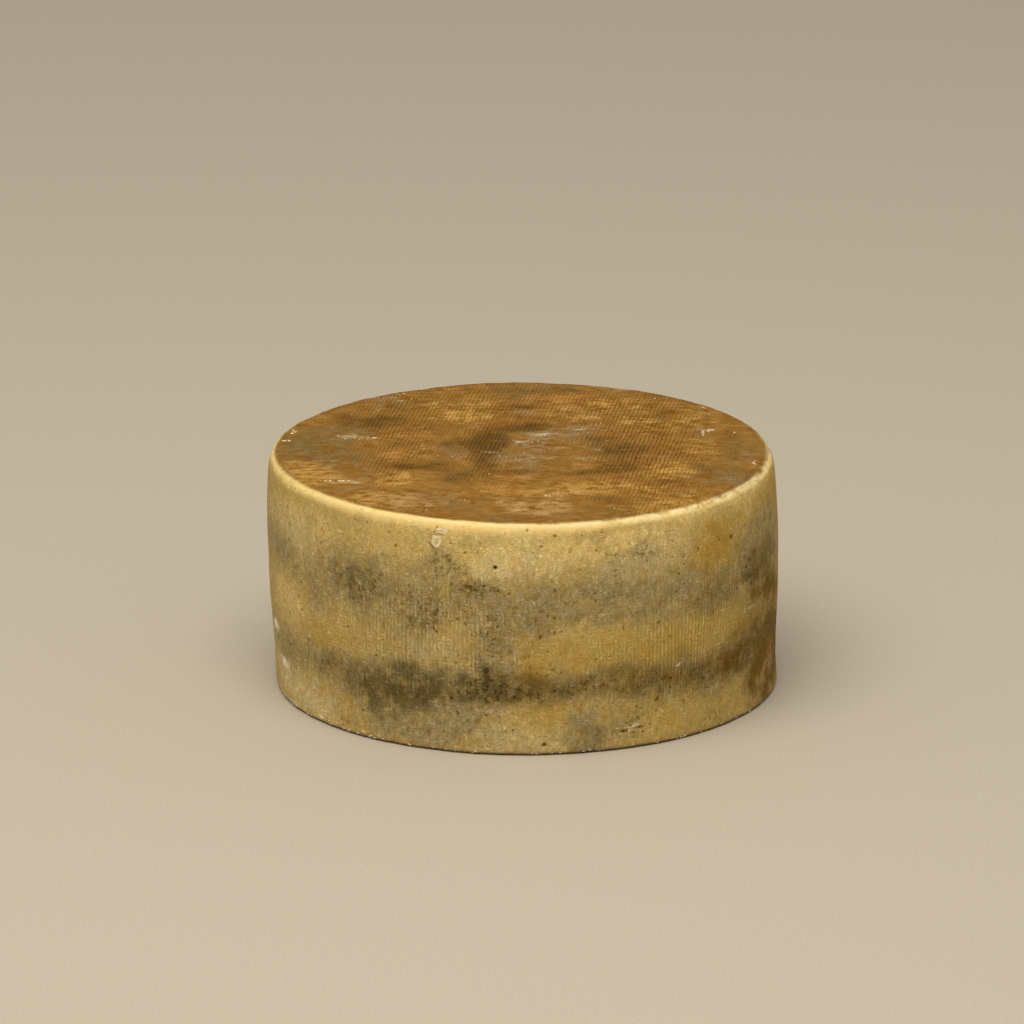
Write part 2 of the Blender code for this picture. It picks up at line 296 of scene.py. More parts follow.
# Rows: rightwards and backwards from the middle, half width and half depth, strength in per cent
TOP_STAINS = {
    "umber": [
        (-16, 8, 8, 26, 100), (2, 40, 13, 7, 90), (-74, 50, 14, 12, 80), (-18, -28, 8, 22, 50),
        (3, 78, 10, 7, 60), (40, 20, 12, 10, 45), (50, 0, 15, 12, 70), (52, -28, 14, 12, 60),
        (-60, 12, 9, 9, 45), (-30, 12, 10, 12, 50), (-62, -28, 16, 7, 60), (-32, -48, 9, 14, 50),
        (30, -38, 14, 6, 60), (74, -51, 10, 4, 55), (92, -32, 10, 8, 45), (106, 28, 7, 12, 45),
        (0, -38, 16, 4, 45), (-42, -30, 12, 8, 45), (40, -84, 13, 7, 45), (-44, 46, 12, 7, 35),
        (74, 66, 6, 14, 40), (70, 98, 8, 6, 40), (26, 109, 9, 4, 50), (-90, 58, 9, 14, 50),
        (15, -22, 12, 8, 35), (-8, 20, 8, 14, 40), (106, -10, 7, 14, 35), (-38, -10, 8, 20, 30),
    ],
    "moss": [
        (-104, 2, 20, 30, 85), (-92, 34, 18, 18, 60), (-88, -18, 16, 14, 55), (10, 110, 24, 8, 60),
        (-4, 104, 9, 12, 60), (102, -44, 20, 18, 75), (110, 4, 12, 26, 50), (-64, 90, 14, 14, 50),
        (0, -114, 24, 8, 60), (-34, -98, 14, 14, 45), (40, -104, 20, 10, 55), (-84, -66, 16, 16, 30),
        (-70, 74, 16, 12, 45), (14, 6, 20, 30, 40), (70, -8, 14, 40, 30),
    ],
    "orange": [
        (30, 92, 16, 10, 70), (-5, -47, 12, 7, 75), (-10, -65, 14, 8, 75), (20, 94, 12, 8, 60),
        (-56, 4, 12, 14, 40), (44, -56, 14, 10, 35), (-50, 28, 14, 14, 40), (-66, -8, 6, 8, 50),
        (-42, -60, 12, 10, 30), (6, 96, 8, 6, 40), (100, 70, 10, 10, 30), (-36, -6, 12, 10, 30),
    ],
    "ochre": [
        (32, -65, 14, 11, 90), (82, -88, 20, 9, 100), (75, -34, 12, 16, 75), (-62, -50, 14, 13, 75),
        (-30, 62, 18, 12, 65), (40, 84, 20, 14, 45), (58, 52, 8, 7, 70), (60, -66, 14, 10, 50),
        (90, 6, 12, 14, 45), (34, -20, 14, 10, 40), (-108, -42, 16, 20, 90), (-72, -82, 14, 12, 80),
        (70, 38, 14, 18, 35), (-20, 84, 16, 12, 40), (88, 60, 18, 20, 35), (-44, 84, 14, 14, 35),
        (8, -74, 16, 9, 50), (62, 84, 16, 12, 30), (28, 60, 20, 14, 40), (60, -102, 22, 7, 40),
    ],
    "taupe": [
        (12, 30, 12, 8, 90), (-8, -13, 12, 10, 85), (4, -24, 9, 14, 70), (24, 28, 16, 12, 60),
        (10, 6, 18, 16, 60), (40, -14, 12, 5, 70), (40, 8, 7, 10, 50), (0, 66, 10, 8, 45),
        (-94, 26, 14, 9, 50), (-70, 90, 8, 14, 55), (94, 30, 7, 12, 60), (106, -48, 14, 14, 35),
        (-36, -48, 8, 14, 35), (-32, -4, 9, 10, 45), (-40, -84, 12, 12, 35), (114, -16, 8, 16, 40),
        (-78, -62, 10, 12, 30), (34, 40, 18, 6, 50), (-18, 40, 9, 7, 35), (-80, -38, 22, 16, 40),
        (-44, -2, 22, 16, 35), (-42, -84, 16, 10, 30), (2, -42, 16, 8, 30),
    ],
    "pale": [
        (12, 27, 10, 2, 60), (2, 18, 7, 1.8, 60), (8, -12, 11, 2.4, 50), (26, 35, 9, 2, 50),
        (-76, 21, 4, 2, 70), (-86, 24, 6, 2.2, 50), (-96, 19, 4, 2, 50), (-92, -53, 8, 1.8, 90),
        (94, 33, 4, 6, 45), (116, -20, 2, 4, 50), (40, 0, 8, 2.2, 40), (-14, -4, 8, 2, 40),
        (58, 52, 7, 2, 50), (34, -14, 8, 1.8, 40), (-60, 92, 6, 2, 40), (20, 5, 8, 2, 45),
    ],
    "tan": [
        (8, -100, 16, 12, 90), (-56, -88, 18, 12, 75), (-8, -88, 12, 10, 40), (32, 70, 12, 9, 60),
        (-30, -14, 8, 14, 40), (14, -80, 8, 6, 60), (-70, 96, 12, 7, 40), (42, 40, 12, 8, 35),
        (-86, -52, 9, 5, 60), (82, -70, 12, 6, 35), (50, 112, 20, 5, 50),
    ],
}

# The kinds of stain in the order in which they are laid over each other
SIDE_ORDER = ["butter", "bloom", "gold", "amber", "mould", "brown_and_shade", "murk", "white"]
TOP_ORDER = ["moss", "ochre", "orange", "tan", "taupe", "umber", "pale"]

# Where the cloth's threads are printed most clearly, as rows of the same kinds
SIDE_PRINT = [
    (-26, 60, 34, 22, 65), (35, 50, 34, 16, 95), (-30, 32, 26, 12, 60), (52, 68, 26, 22, 70),
    (-10, 62, 16, 24, 60), (44, 30, 30, 10, 50), (0, 60, 300, 70, 20), (180, 56, 200, 60, 50),
]

# Where dark specks, fibres and blotches gather on the side, and how far that spreads
MARKS_SPREAD = 1.5
SIDE_MARKS = [
    (-38, 78, 10, 10, 60), (-46, 84, 8, 6, 50), (-17, 99, 9, 5, 70), (-10, 88, 12, 5, 100),
    (-22, 74, 12, 9, 70), (-7, 66, 8, 14, 60), (-8, 36, 11, 9, 100), (0, 30, 12, 6, 80),
    (14, 34, 14, 6, 70), (30, 33, 14, 6, 60), (44, 30, 14, 7, 50), (24, 11, 9, 5, 100), (21, 98, 7, 5, 60),
    (29, 99, 8, 6, 50), (60, 80, 10, 9, 60), (-60, 60, 6, 4, 40), (56, 34, 14, 10, 60),
    (70, 60, 14, 20, 40), (-44, 6, 6, 4, 50), (3, 46, 8, 6, 60), (180, 80, 90, 9, 50),
    (180, 33, 120, 8, 60),
]
TOP_PRINT = [
    (62, 0, 26, 100, 95), (-64, 50, 20, 60, 80), (-66, -20, 14, 40, 60), (0, 80, 60, 40, 70),
    (-18, 0, 12, 50, 80), (10, -10, 150, 150, 22),
]

# Colours, as the share of red, green and blue light that comes back
COLOURS = {
    "side": (0.475, 0.328, 0.108),
    "cream": (0.84, 0.59, 0.205),
    "mould": (0.333, 0.245, 0.101),
    "murk": (0.138, 0.096, 0.03),
    # brown: a brown stain, on the right of the front partly painted shade
    "brown_and_shade": (0.18, 0.098, 0.01),
    "gold": (0.488, 0.324, 0.084),
    "amber": (0.45, 0.262, 0.045),
    "butter": (0.72, 0.508, 0.178),
    "bloom": (0.6, 0.458, 0.206),
    "white": (0.78, 0.66, 0.45),
    "pale": (0.4, 0.27, 0.125),
    "crust": (0.27, 0.127, 0.017),
    "umber": (0.118, 0.057, 0.004),
    "moss": (0.188, 0.107, 0.022),
    "orange": (0.355, 0.165, 0.027),
    "ochre": (0.4, 0.212, 0.038),
    "taupe": (0.26, 0.149, 0.048),
    "tan": (0.37, 0.196, 0.052),
    # The pit colour is near black: painted shade in the pits and along the foot, and the dirt round the
    # blister
    "pit": (0.026, 0.013, 0.003),
    "blister": (0.7, 0.5, 0.26),
    "blister edge": (0.98, 0.86, 0.56),
    "fleck": (0.74, 0.58, 0.36),
    # The paste colour is the worn rim's pale paste with a painted highlight on it
    "paste_and_highlight": (0.98, 0.78, 0.37),
}

# The cloth's threads lie this far apart; round the side there is a whole number of them
THREAD_PITCH = 2.1 * MM
THREADS_ROUND = 381
THREAD_TURN = math.radians(-8.5)

# How far they waver, and how far they tangle where they aren't printed, in radians of their wave
WAVER_REACH = 6.0
TANGLE_REACH = 18.0

# How strongly the rind, the flecks and the floor show a gloss: they are dry and dull
GLOSS_LEVEL = 0.06
RIND_ROUGHNESS = 0.66
FLECK_ROUGHNESS = 0.75
FLOOR_ROUGHNESS = 0.9

# What the rind's colour is multiplied by: where it is warmer and cooler, under dirt and on a thread
WARM = (1.02, 0.99, 0.92)
COOL = (0.98, 1.01, 1.04)
DIRT = (0.46, 0.38, 0.19)
SIDE_LIT = (1.42, 1.50, 1.78)
TOP_LIT = (1.28, 1.40, 2.1)

# How strongly red, green and blue follow light and dark: the dark parts are browner, the light paler
SIDE_FOLLOW = (0.80, 1.0, 1.60)
TOP_FOLLOW = (0.70, 1.0, 2.1)
DARKEST = (0.2, 0.2, 0.1)

# The rind's noises: size in millimetres, detail, roughness, stretch and a shift that keeps them apart
EVEN = (1, 1, 1)
RIND_NOISES = {
    "broad": (13, 5, 0.58),
    "medium": (8, 5, 0.62, EVEN, 23.0),
    "middle": (5, 4, 0.65, EVEN, 3.0),
    "fine": (2.6, 3, 0.7, EVEN, 9.0),
    "grain": (1.2, 2, 0.6, EVEN, 7.0),
    "run side": (1.6, 2, 0.6, (1, 1, 0.35), 11.0),
    "run top": (2.8, 4, 0.68, (0.42, 1, 1), 13.0),
    "tint": (7, 2, 0.5, EVEN, 51.0),
    "waver": (17, 2),
    "tangle": (2.6, 1, 0.5, EVEN, 5.0),
    "turned side": (4.5, 2, 0.5, EVEN, 31.0),
    "turned top": (15, 2, 0.5, EVEN, 33.0),
    "scatter": (2.8, 3, 0.65, EVEN, 61.0),
    "dirt": (2.6, 4, 0.7, EVEN, 41.0),
    "light fibres": (2.2, 1.5, 0.5, (1, 1, 0.7), 71.0),
    "dark fibres": (3.0, 1.5, 0.5, (1, 1, 0.8), 81.0),
}

# The pairs of noises that make each stain thicker and thinner, and how strongly
SIDE_PATCHES = [
    ("broad", "fine"), ("medium", "run"), ("broad", "middle"), ("medium", "fine"), ("medium", "middle"),
]
SIDE_PATCHINESS = (3.2, 1.5)
TOP_PATCHES = [("broad", "run top"), ("medium", "run top")]
TOP_PATCHINESS = (3.4, 3.4)

# How strong each noise is in light and dark on the side and on the flat faces, and in the bump
SIDE_UNEVEN = {"middle": 1.0, "fine": 0.9, "grain": 0.6, "run": 0.6}
TOP_UNEVEN = {"broad": 0.7, "medium": 1.2, "middle": 0.8, "fine": 0.5, "run": 1.3}
BUMPS = {"grain": 0.4, "fine": 0.8, "middle": 0.8}
BUMP_HEIGHT = 0.3 * MM
BUMP_STRENGTH = 0.8

# Where a noise or a wave starts and ends to show each of these things
STEPS = {
    "warm": (0.50, 0.66),
    "cool": (0.50, 0.34),
    "upright": (0.48, 0.54),
    "there side": (0.50, 0.57),
    "there top": (0.46, 0.60),
    "kept side": (0.38, 0.60),
    "kept top": (0.42, 0.60),
    "thread": (0.50, 1.0),
    # gap: the cloth's dark gaps, partly grime and partly painted shade in the grooves
    "groove_shade_and_grime": (0.1, 0.9),
    "broken gap": (0.42, 0.56),
    "light stroke": (0.59, 0.70),
    "dark stroke": (0.41, 0.31),
    "light fibre": (0.44, 0.56),
    "dark fibre": (0.56, 0.46),
    "blotch": (0.63, 0.66),
    # paste: where the rim's pale paste and its painted highlight show
    "paste_and_highlight": (0.20, 0.60),
    # foot: painted shade, darkening the bottom of the side where the wheel meets the floor
    "foot": (1.9 * MM, 0.5 * MM),
}

# How strongly these show on the side, and on the flat faces
SHOWS = {
    "tangle": (1.0, 0.35),
    "upright": (0.11, 0.25),
    "thread": (0.95, 0.42),
    "light fibre": (0.85, 0.28),
}

# Dark specks: how far apart they are, how ragged, how wide as shares of that, and which of them show
SPECK_SPACING = 3.4 * MM
SPECK_RAGGED = 3.0 * MM
SPECK_RAGGED_LENGTH = 1.3 * MM
SPECK_NARROW = 0.10
SPECK_WIDER = 0.22
SPECK_WIDER_FROM = (0.7, 1.0)
SPECK_CHANCE = (0.79, 0.81)
SPECK_CHANCE_MARKED = 0.2

# Pale flecks of old crust on the top and along its rim. Rows: rightwards and backwards from the
# middle, half width and half depth of the group in millimetres, how many, how long they are, and
# which way they lie in degrees
FLECKS = [
    (-76, 21, 1.6, 1.4, 3, 3, 20), (-84, 23, 12, 5, 7, 1.8, 0), (-90, -53, 3, 0.8, 4, 5.5, 5),
    (-97, -52, 2, 0.6, 2, 3, 10), (-17, -41, 0.8, 0.8, 2, 2.6, 30), (12, -78, 1.2, 0.8, 3, 3.2, 0),
    (92, 30, 0.8, 4, 5, 2.8, 70), (96, 36, 2, 3.5, 5, 3, 10), (108, 32, 0.8, 0.8, 2, 2.6, 40),
    (116, -20, 0.8, 3, 5, 2.4, 60), (93, 78, 2, 2, 3, 2.2, 0), (-63, 103, 2, 1.5, 2, 2.4, 0),
    (-28, -87, 1, 1, 2, 1.8, 0), (8, 22, 12, 8, 5, 2, 20), (-4, -8, 8, 10, 4, 1.8, 20),
    (34, 8, 10, 10, 4, 1.6, 0), (-120, 20, 1.5, 3, 3, 3.6, 80), (-117, 34, 1.5, 4, 4, 3, 60),
    (0, 0, 110, 110, 36, 1.3, 0),
]

# The same on the side, as crumbs along the foot, flakes and specks. Rows: azimuth in degrees, height,
# half width and half height of the group in millimetres, how many, how long they are, how they lie
SIDE_FLECKS = [
    (0, 1.3, 190, 0.5, 46, 2.4, 0), (-46, 2, 24, 1.2, 9, 3.4, 0), (180, 1.3, 200, 0.5, 30, 2.4, 0),
    (-18.6, 112, 2, 3, 5, 1.6, 90), (36.4, 39.4, 0.3, 0.3, 1, 2.2, 30), (60, 56, 3, 1.5, 3, 1.6, 0),
    (24, 11, 6, 3, 6, 1.8, 0), (-80, 36, 3, 2, 4, 4, 20), (-74, 21, 3, 1, 3, 3, 0),
]
FLECK_SEED = 23
FLECK_PROUD = 0.20 * MM
FLECK_SINK = 0.10 * MM
FLECK_SIDES = 10
FLECK_WIDTHS = (0.3, 0.6)
FLECK_TURN_SPREAD = math.radians(35)
FLECK_LENGTHS = (0.45, 1)
FLECK_RAGGED = (0.75, 1.15)

# A fleck's rings from its sunk edge to its top: how wide as a share, and how high
FLECK_RINGS = ((1.0, -FLECK_SINK), (0.8, 0.5 * FLECK_PROUD), (0.35, FLECK_PROUD))

# The camera, at the photograph's viewing angle
CAMERA_PITCH = math.radians(17.0)
CAMERA_DISTANCE = 4.33
CAMERA_LENS_MM = 300
CAMERA_SENSOR_MM = 36
CAMERA_REACH = 100
CAMERA_AIM = Vector((-5.6 * MM, 0, 60 * MM))
CAMERA_RISE = 26.3 * MM

FLOOR_SIZE = 40.0
FLOOR_COLOUR = (0.505, 0.437, 0.330)

LIGHT_PLACE = (-0.3, -0.9, 2.3)
LIGHT_SIZE = 2.4
LIGHT_POWER = 52
LIGHT_COLOUR = (1.0, 0.97, 0.92)
SURROUND_STRENGTH = 0.5


def smooth(t):
    """0 to 1 as t goes from 0 to 1, level at both ends."""
    t = min(max(t, 0.0), 1.0)
    return t * t * (3 - 2 * t)


def side_radius(z):
    """Radius of the true side at height z: widest at the belly, drawn in at the top and the waist."""
    if z >= BELLY_HEIGHT:
        t = (z - BELLY_HEIGHT) / (HEIGHT - BELLY_HEIGHT)
        return BELLY_RADIUS - (BELLY_RADIUS - TOP_RADIUS) * t**SHOULDER_POWER
    t = min((BELLY_HEIGHT - z) / (BELLY_HEIGHT - WAIST_HEIGHT), 1.0)
    return BELLY_RADIUS - (BELLY_RADIUS - WAIST_RADIUS) * smooth(t**WAIST_POWER)


def arc(middle, radius, start, end, steps):
    """Points on an arc, with its ends, as (radius, height). Angles are in degrees from level."""
    angles = [math.radians(start + (end - start) * i / steps) for i in range(steps + 1)]
    return [(middle[0] + radius * math.cos(a), middle[1] + radius * math.sin(a)) for a in angles]


def evenly(start, end, step):
    """Values from start towards end, about a step apart, without either end."""
    count = max(round(abs(end - start) / step), 1)
    return [start + (end - start) * i / count for i in range(1, count)]


def profile():
    """Half the outline as (radius, height), from near the middle of the top to that of the underside."""
    flat = side_radius(HEIGHT) - RIM_FILLET
    top = [(r, HEIGHT) for r in evenly(0, flat, RING_STEP)]
    rim = arc((flat, HEIGHT - RIM_FILLET), RIM_FILLET, 90, RIM_END, FILLET_STEPS)
    side = [(side_radius(z), z) for z in evenly(rim[-1][1], FOOT_FILLET, RING_STEP)]
    base = side_radius(0) - FOOT_FILLET
    foot = arc((base, FOOT_FILLET), FOOT_FILLET, 0, -90, FILLET_STEPS)
    underside = [(r, 0.0) for r in evenly(base, 0, UNDERSIDE_STEP)]
    return top + rim + side + foot + underside


def rim_wear(azimuth, across):
    """How far the rim is rubbed down, most on the right of the front."""
    right = math.exp(-(((azimuth - RIM_WEAR_AZIMUTH) / RIM_WEAR_SPREAD) ** 2))
    uneven = 1 + RIM_WEAR_UNEVEN * noise.noise(across / RIM_WEAR_LENGTH)
    return RIM_WEAR * uneven + RIM_WEAR_RIGHT * right


def nick(azimuth):
    """How far the foot's edge is broken back at an azimuth."""
    around = Vector((math.sin(azimuth), math.cos(azimuth), 0)) * (WAIST_RADIUS / NICK_LENGTH)
    rough = noise.noise(around) + NICK_ROUGHNESS * noise.noise(around * NICK_FINER)
    return NICK_DEPTH * max(0.0, rough)


def as_aged(point):
    """Where a point of the true turned form lies on the real wheel."""
    radius = math.hypot(point.x, point.y)
    azimuth = math.atan2(point.x, -point.y)
    outward = Vector((math.sin(azimuth), -math.cos(azimuth), 0))
    share = point.z / HEIGHT

    # Long low waves in the side, and in the top only near its face
    wave = WAVE * noise.noise(point / WAVE_LENGTH) + OVAL * math.cos(2 * (azimuth - OVAL_AZIMUTH))
    slump = FOOT_SLUMP * max(0.0, math.sin(azimuth)) ** 3 * (1 - smooth(point.z / WAIST_HEIGHT))
    radial = (wave + slump) * radius / BELLY_RADIUS
    ripple = noise.noise(Vector((point.x, point.y, 1.0)) / TOP_WAVE_LENGTH)
    lift = TOP_WAVE * ripple * smooth((share - TOP_WAVE_FROM) / (1 - TOP_WAVE_FROM))

    # The worn rim, pressed in and down
    from_rim = math.hypot(radius - TOP_RADIUS, point.z - HEIGHT)
    rubbed = rim_wear(azimuth, point) * math.exp(-((from_rim / RIM_WEAR_REACH) ** 2))
    radial -= rubbed * RIM_WEAR_INWARD
    lift -= rubbed

    # The nicks along the foot
    if radius > WAIST_RADIUS - NICK_REACH:
        radial -= nick(azimuth) * (1 - smooth(point.z / NICK_HEIGHT))

    lean = Vector((LEAN * (0.5 - share), 0, 0))
    return point + outward * radial + Vector((0, 0, lift)) + lean


def segments_at(radius):
    """How many points a ring has: half as many each time its radius halves."""
    count = SEGMENTS
    while radius * 2 < BELLY_RADIUS * count / SEGMENTS and count > FEWEST_SEGMENTS:
        count //= 2
    return count


def join_rings(outer, inner):
    """Faces between two rings of vertices, the second with as many points or half as many."""
    n, m = len(outer), len(inner)
    if n == m:
        return [(outer[i], outer[(i + 1) % n], inner[(i + 1) % n], inner[i]) for i in range(n)]
    faces = []
    for i in range(m):
        a, b, c = outer[2 * i], outer[2 * i + 1], outer[(2 * i + 2) % n]
        faces += [(a, b, inner[i]), (b, inner[(i + 1) % m], inner[i]), (b, c, inner[(i + 1) % m])]
    return faces


def turned_mesh():
    """The true turned form as a fine mesh, whose rings thin out towards the middle."""
    mesh = bmesh.new()
    rings = []
    for radius, z in profile():
        count = segments_at(radius)
        angles = [2 * math.pi * i / count for i in range(count)]
        rings.append([mesh.verts.new((radius * math.sin(a), -radius * math.cos(a), z)) for a in angles])
    for upper, lower in zip(rings, rings[1:]):
        if len(lower) >= len(upper):
            corners = join_rings(lower, upper)
        else:
            corners = [face[::-1] for face in join_rings(upper, lower)]
        for face in corners:
            mesh.faces.new(face)
    for ring, z, turn in ((rings[0], HEIGHT, 1), (rings[-1], 0.0, -1)):
        middle = mesh.verts.new((0, 0, z))
        for i in range(len(ring)):
            pair = (ring[i], ring[(i + 1) % len(ring)])
            mesh.faces.new((middle,) + pair[::turn])
    bmesh.ops.recalc_face_normals(mesh, faces=mesh.faces)
    return mesh


def place_over_origin(mesh):
    """Moves the mesh sideways until its bounds are centred on the origin."""
    xs = [v.co.x for v in mesh.vertices]
    ys = [v.co.y for v in mesh.vertices]
    middle = Vector(((min(xs) + max(xs)) / 2, (min(ys) + max(ys)) / 2, 0))
    mesh.transform(Matrix.Translation(-middle))


def lattice_noise(points, size, seed):
    """Smooth noise from -1 to 1 at an array of points, with lumps about a size across."""
    draw = np.random.default_rng(seed)
    shuffle = draw.permutation(LATTICE)
    values = draw.uniform(-1, 1, LATTICE)
    scaled = points / size
    cell = np.floor(scaled).astype(int)
    part = scaled - cell
    part = part * part * (3 - 2 * part)
    total = np.zeros(len(points))
    for corner in itertools.product((0, 1), repeat=3):
        x, y, z = (cell + corner).T
        key = shuffle[(shuffle[(shuffle[x % LATTICE] + y) % LATTICE] + z) % LATTICE]
        weight = np.prod(np.where(corner, part, 1 - part), axis=1)
        total += weight * values[key]
    return total


def rough_noise(points, size, seed, octaves=3):
    """Layers of the same noise, each half as large and half as strong."""
    layers = [lattice_noise(points, size / 2**i, seed + i) / 2**i for i in range(octaves)]
    return sum(layers) / sum(1 / 2**i for i in range(octaves))


def smooth_array(t):
    t = np.clip(t, 0, 1)
    return t * t * (3 - 2 * t)


def bell(t):
    """1 where t is 0, and less either side."""
    return np.exp(-(t**2))


def far_pits():
    """Pits for the side that faces away, as rows of the same kind as PITS."""
    draw = random.Random(SCATTER_SEED)
    step = (FAR_AZIMUTHS[1] - FAR_AZIMUTHS[0]) / FAR_PITS
    rows = []
    for i in range(FAR_PITS):
        azimuth = FAR_AZIMUTHS[0] + step * (i + draw.uniform(0.2, 0.8))
        height = draw.uniform(*FAR_HEIGHTS)
        width = draw.uniform(*FAR_SIZES)
        tall = draw.uniform(*FAR_SIZES)
        rows.append((azimuth, height, width, tall, draw.uniform(*FAR_DEPTHS)))
    return rows


ALL_PITS = PITS + far_pits() + SMALL_PITS


def apart(azimuth, other):
    """The angle from one azimuth to another, the shorter way round."""
    return (azimuth - other + math.pi) % (2 * math.pi) - math.pi


def refine_near_pits(form):
    """Divides the faces of the side more finely where there are pits."""
    marks = [(math.radians(a), z * MM, max(w, t) / 2 * MM) for a, z, w, t, _ in ALL_PITS]
    marks += [(math.radians(a), z * MM, BLISTER_REACH) for a, z, _, _ in BLISTERS]
    near = set()
    for face in form.faces:
        middle = face.calc_center_median()
        if middle.xy.length < WAIST_RADIUS - RIM_FILLET:
            continue
        azimuth = math.atan2(middle.x, -middle.y)
        for mark, z, reach in marks:
            if math.hypot(apart(azimuth, mark) * BELLY_RADIUS, middle.z - z) < reach + REFINE_REACH:
                near.update(face.edges)
                break
    bmesh.ops.subdivide_edges(form, edges=list(near), cuts=REFINE_CUTS, use_grid_fill=True)
    many_sided = [face for face in form.faces if len(face.verts) > 4]
    bmesh.ops.triangulate(form, faces=many_sided)


class Places:
    """Where each vertex of the true turned form lies, as arrays."""

    def __init__(self, points):
        self.points = points
        self.x, self.y, self.z = points.T
        self.radius = np.hypot(self.x, self.y)
        self.azimuth = np.arctan2(self.x, -self.y)
        self.from_rim = np.hypot(self.radius - TOP_RADIUS, self.z - HEIGHT)
        self.on_side = self.radius > WAIST_RADIUS - RIM_FILLET

    def uneven(self, kind):
        strength, length, seed, layers = UNEVENNESS[kind]
        return strength * rough_noise(self.points, length * MM, seed, layers)

    def about(self, azimuth, spread):
        """1 at an azimuth, fading away round the wheel, both in degrees."""
        return bell((self.azimuth - math.radians(azimuth)) / math.radians(spread))

    def from_mark(self, azimuth, z, width, tall):
        """How far each vertex is from the middle of a mark, as a share of its half size."""
        across = apart(self.azimuth, azimuth)
        far = np.hypot(across * BELLY_RADIUS / (width / 2), (self.z - z) / (tall / 2))
        return np.where(self.on_side, far, np.inf)


def pit_fields(places, blister):
    """How deep the pits go at each vertex, and how much painted shade darkens it, most in deep narrow pits.
    """
    ragged = places.uneven("pit edge")
    depth = np.zeros(len(places.points))
    dark = np.zeros(len(places.points))
    for azimuth, z, width, tall, deep in ALL_PITS:
        far = places.from_mark(math.radians(azimuth), z * MM, width * MM, tall * MM) + ragged
        inside = np.sqrt(np.clip(1 - far**2, 0, 1))
        depth = np.maximum(depth, deep * MM * inside)
        darkest = min(deep / DARKEST_DEPTH, 1) ** 2 * min(DARKEST_WIDTH / max(width, tall), 1)
        dark = np.maximum(dark, darkest * smooth_array((PIT_SHADE_END - far) / PIT_SHADE_SOFTNESS))
    return depth, dark * (1 - np.clip(blister, 0, 1))


def blister_fields(places):
    """Where the blister near the rim lies, its raised edges and the dirt at its lower left."""
    ragged = places.uneven("blister shape")
    broken = smooth_array(BLISTER_WHOLE + places.uneven("blister gaps"))
    inside, edge, dirt = np.zeros((3, len(places.points)))
    for azimuth, z, width, tall in BLISTERS:
        far = places.from_mark(math.radians(azimuth), z * MM, width * MM, tall * MM) + ragged
        aside = (places.azimuth - math.radians(azimuth)) * BELLY_RADIUS / (width * MM)
        below = (z * MM - places.z) / (tall * MM)
        open_side = smooth_array((below - aside) / BLISTER_OPENING)
        inside = np.maximum(inside, smooth_array((BLISTER_END - far) / BLISTER_SOFTNESS))
        line = bell((far - BLISTER_EDGE) / BLISTER_LINE) * (1 - BLISTER_OPEN * open_side)
        edge = np.maximum(edge, line * broken)
        dirt = np.maximum(dirt, bell((far - BLISTER_DIRT) / BLISTER_LINE) * open_side)
    return inside, edge, BLISTER_DIRTY * dirt


def blots(across, along, rows, around=None):
    """How strongly a kind of stain lies at each place, from 0 to 1. Around is where the first axis closes."""
    clear = np.ones(len(across))
    for x, y, half_width, half_height, strength in rows:
        aside = across - x * MM
        if around:
            aside = (aside + around / 2) % around - around / 2
        far = (aside / (half_width * MM)) ** 2 + ((along - y * MM) / (half_height * MM)) ** 2
        clear *= 1 - strength / 100 * np.exp(-FADE * far**FADE_POWER)
    return 1 - clear


def warped(points, a, b, seed):
    """Two coordinates pushed about by noise, so that what is drawn with them has ragged edges."""
    pushes = []
    for i, (reach, length) in enumerate(PUSHES):
        pushes.append(reach * rough_noise(points, length * MM, seed + 10 * i))
    return a + (pushes[0] + pushes[1]) * MM, b + (pushes[2] + pushes[3]) * MM


def far_stains():
    """Stains for the side that faces away, in the same bands as in front, as rows by kind."""
    draw = random.Random(FAR_STAIN_SEED)
    rows = {kind: [] for kind in SIDE_STAINS}
    for azimuth in range(*FAR_STAINS, FAR_STAIN_STEP):
        for kind, z, half_height, chance in FAR_BANDS:
            if draw.random() < chance:
                azimuth_there = azimuth + draw.uniform(-FAR_STAIN_SHIFT, FAR_STAIN_SHIFT)
                z_there = z + draw.uniform(-FAR_STAIN_SHIFT, FAR_STAIN_SHIFT)
                half_width = draw.uniform(*FAR_STAIN_WIDTHS)
                tall = half_height * draw.uniform(*FAR_STAIN_HEIGHTS)
                strength = draw.uniform(*FAR_STAIN_STRENGTHS)
                rows[kind].append((azimuth_there, z_there, half_width, tall, strength))
    return rows


def side_field(places, along, up, rows):
    """Rows given by azimuth, as a field round the side."""
    scale = math.radians(1) * BELLY_RADIUS / MM
    in_millimetres = [(a * scale, *rest) for a, *rest in rows]
    return np.where(places.on_side, blots(along, up, in_millimetres, 2 * math.pi * BELLY_RADIUS), 0)


def stain_fields(places):
    """Each kind of stain at each vertex, from 0 to 1. The underside has the top's, turned a quarter."""
    along, up = warped(places.points, places.azimuth * BELLY_RADIUS, places.z, SIDE_PUSH_SEED)
    below = places.z < HEIGHT / 2
    flat_x = np.where(below, -places.y, places.x)
    flat_y = np.where(below, places.x, places.y)
    across, away = warped(places.points, flat_x, flat_y, TOP_PUSH_SEED)
    far = far_stains()
    fields = {kind: side_field(places, along, up, SIDE_STAINS[kind] + far[kind]) for kind in SIDE_STAINS}
    fields.update({kind: blots(across, away, rows) for kind, rows in TOP_STAINS.items()})
    side_print = side_field(places, along, up, SIDE_PRINT)
    fields["print"] = np.where(places.on_side, side_print, blots(across, away, TOP_PRINT))
    fields["marks"] = np.clip(MARKS_SPREAD * side_field(places, along, up, SIDE_MARKS), 0, 1)
    return fields


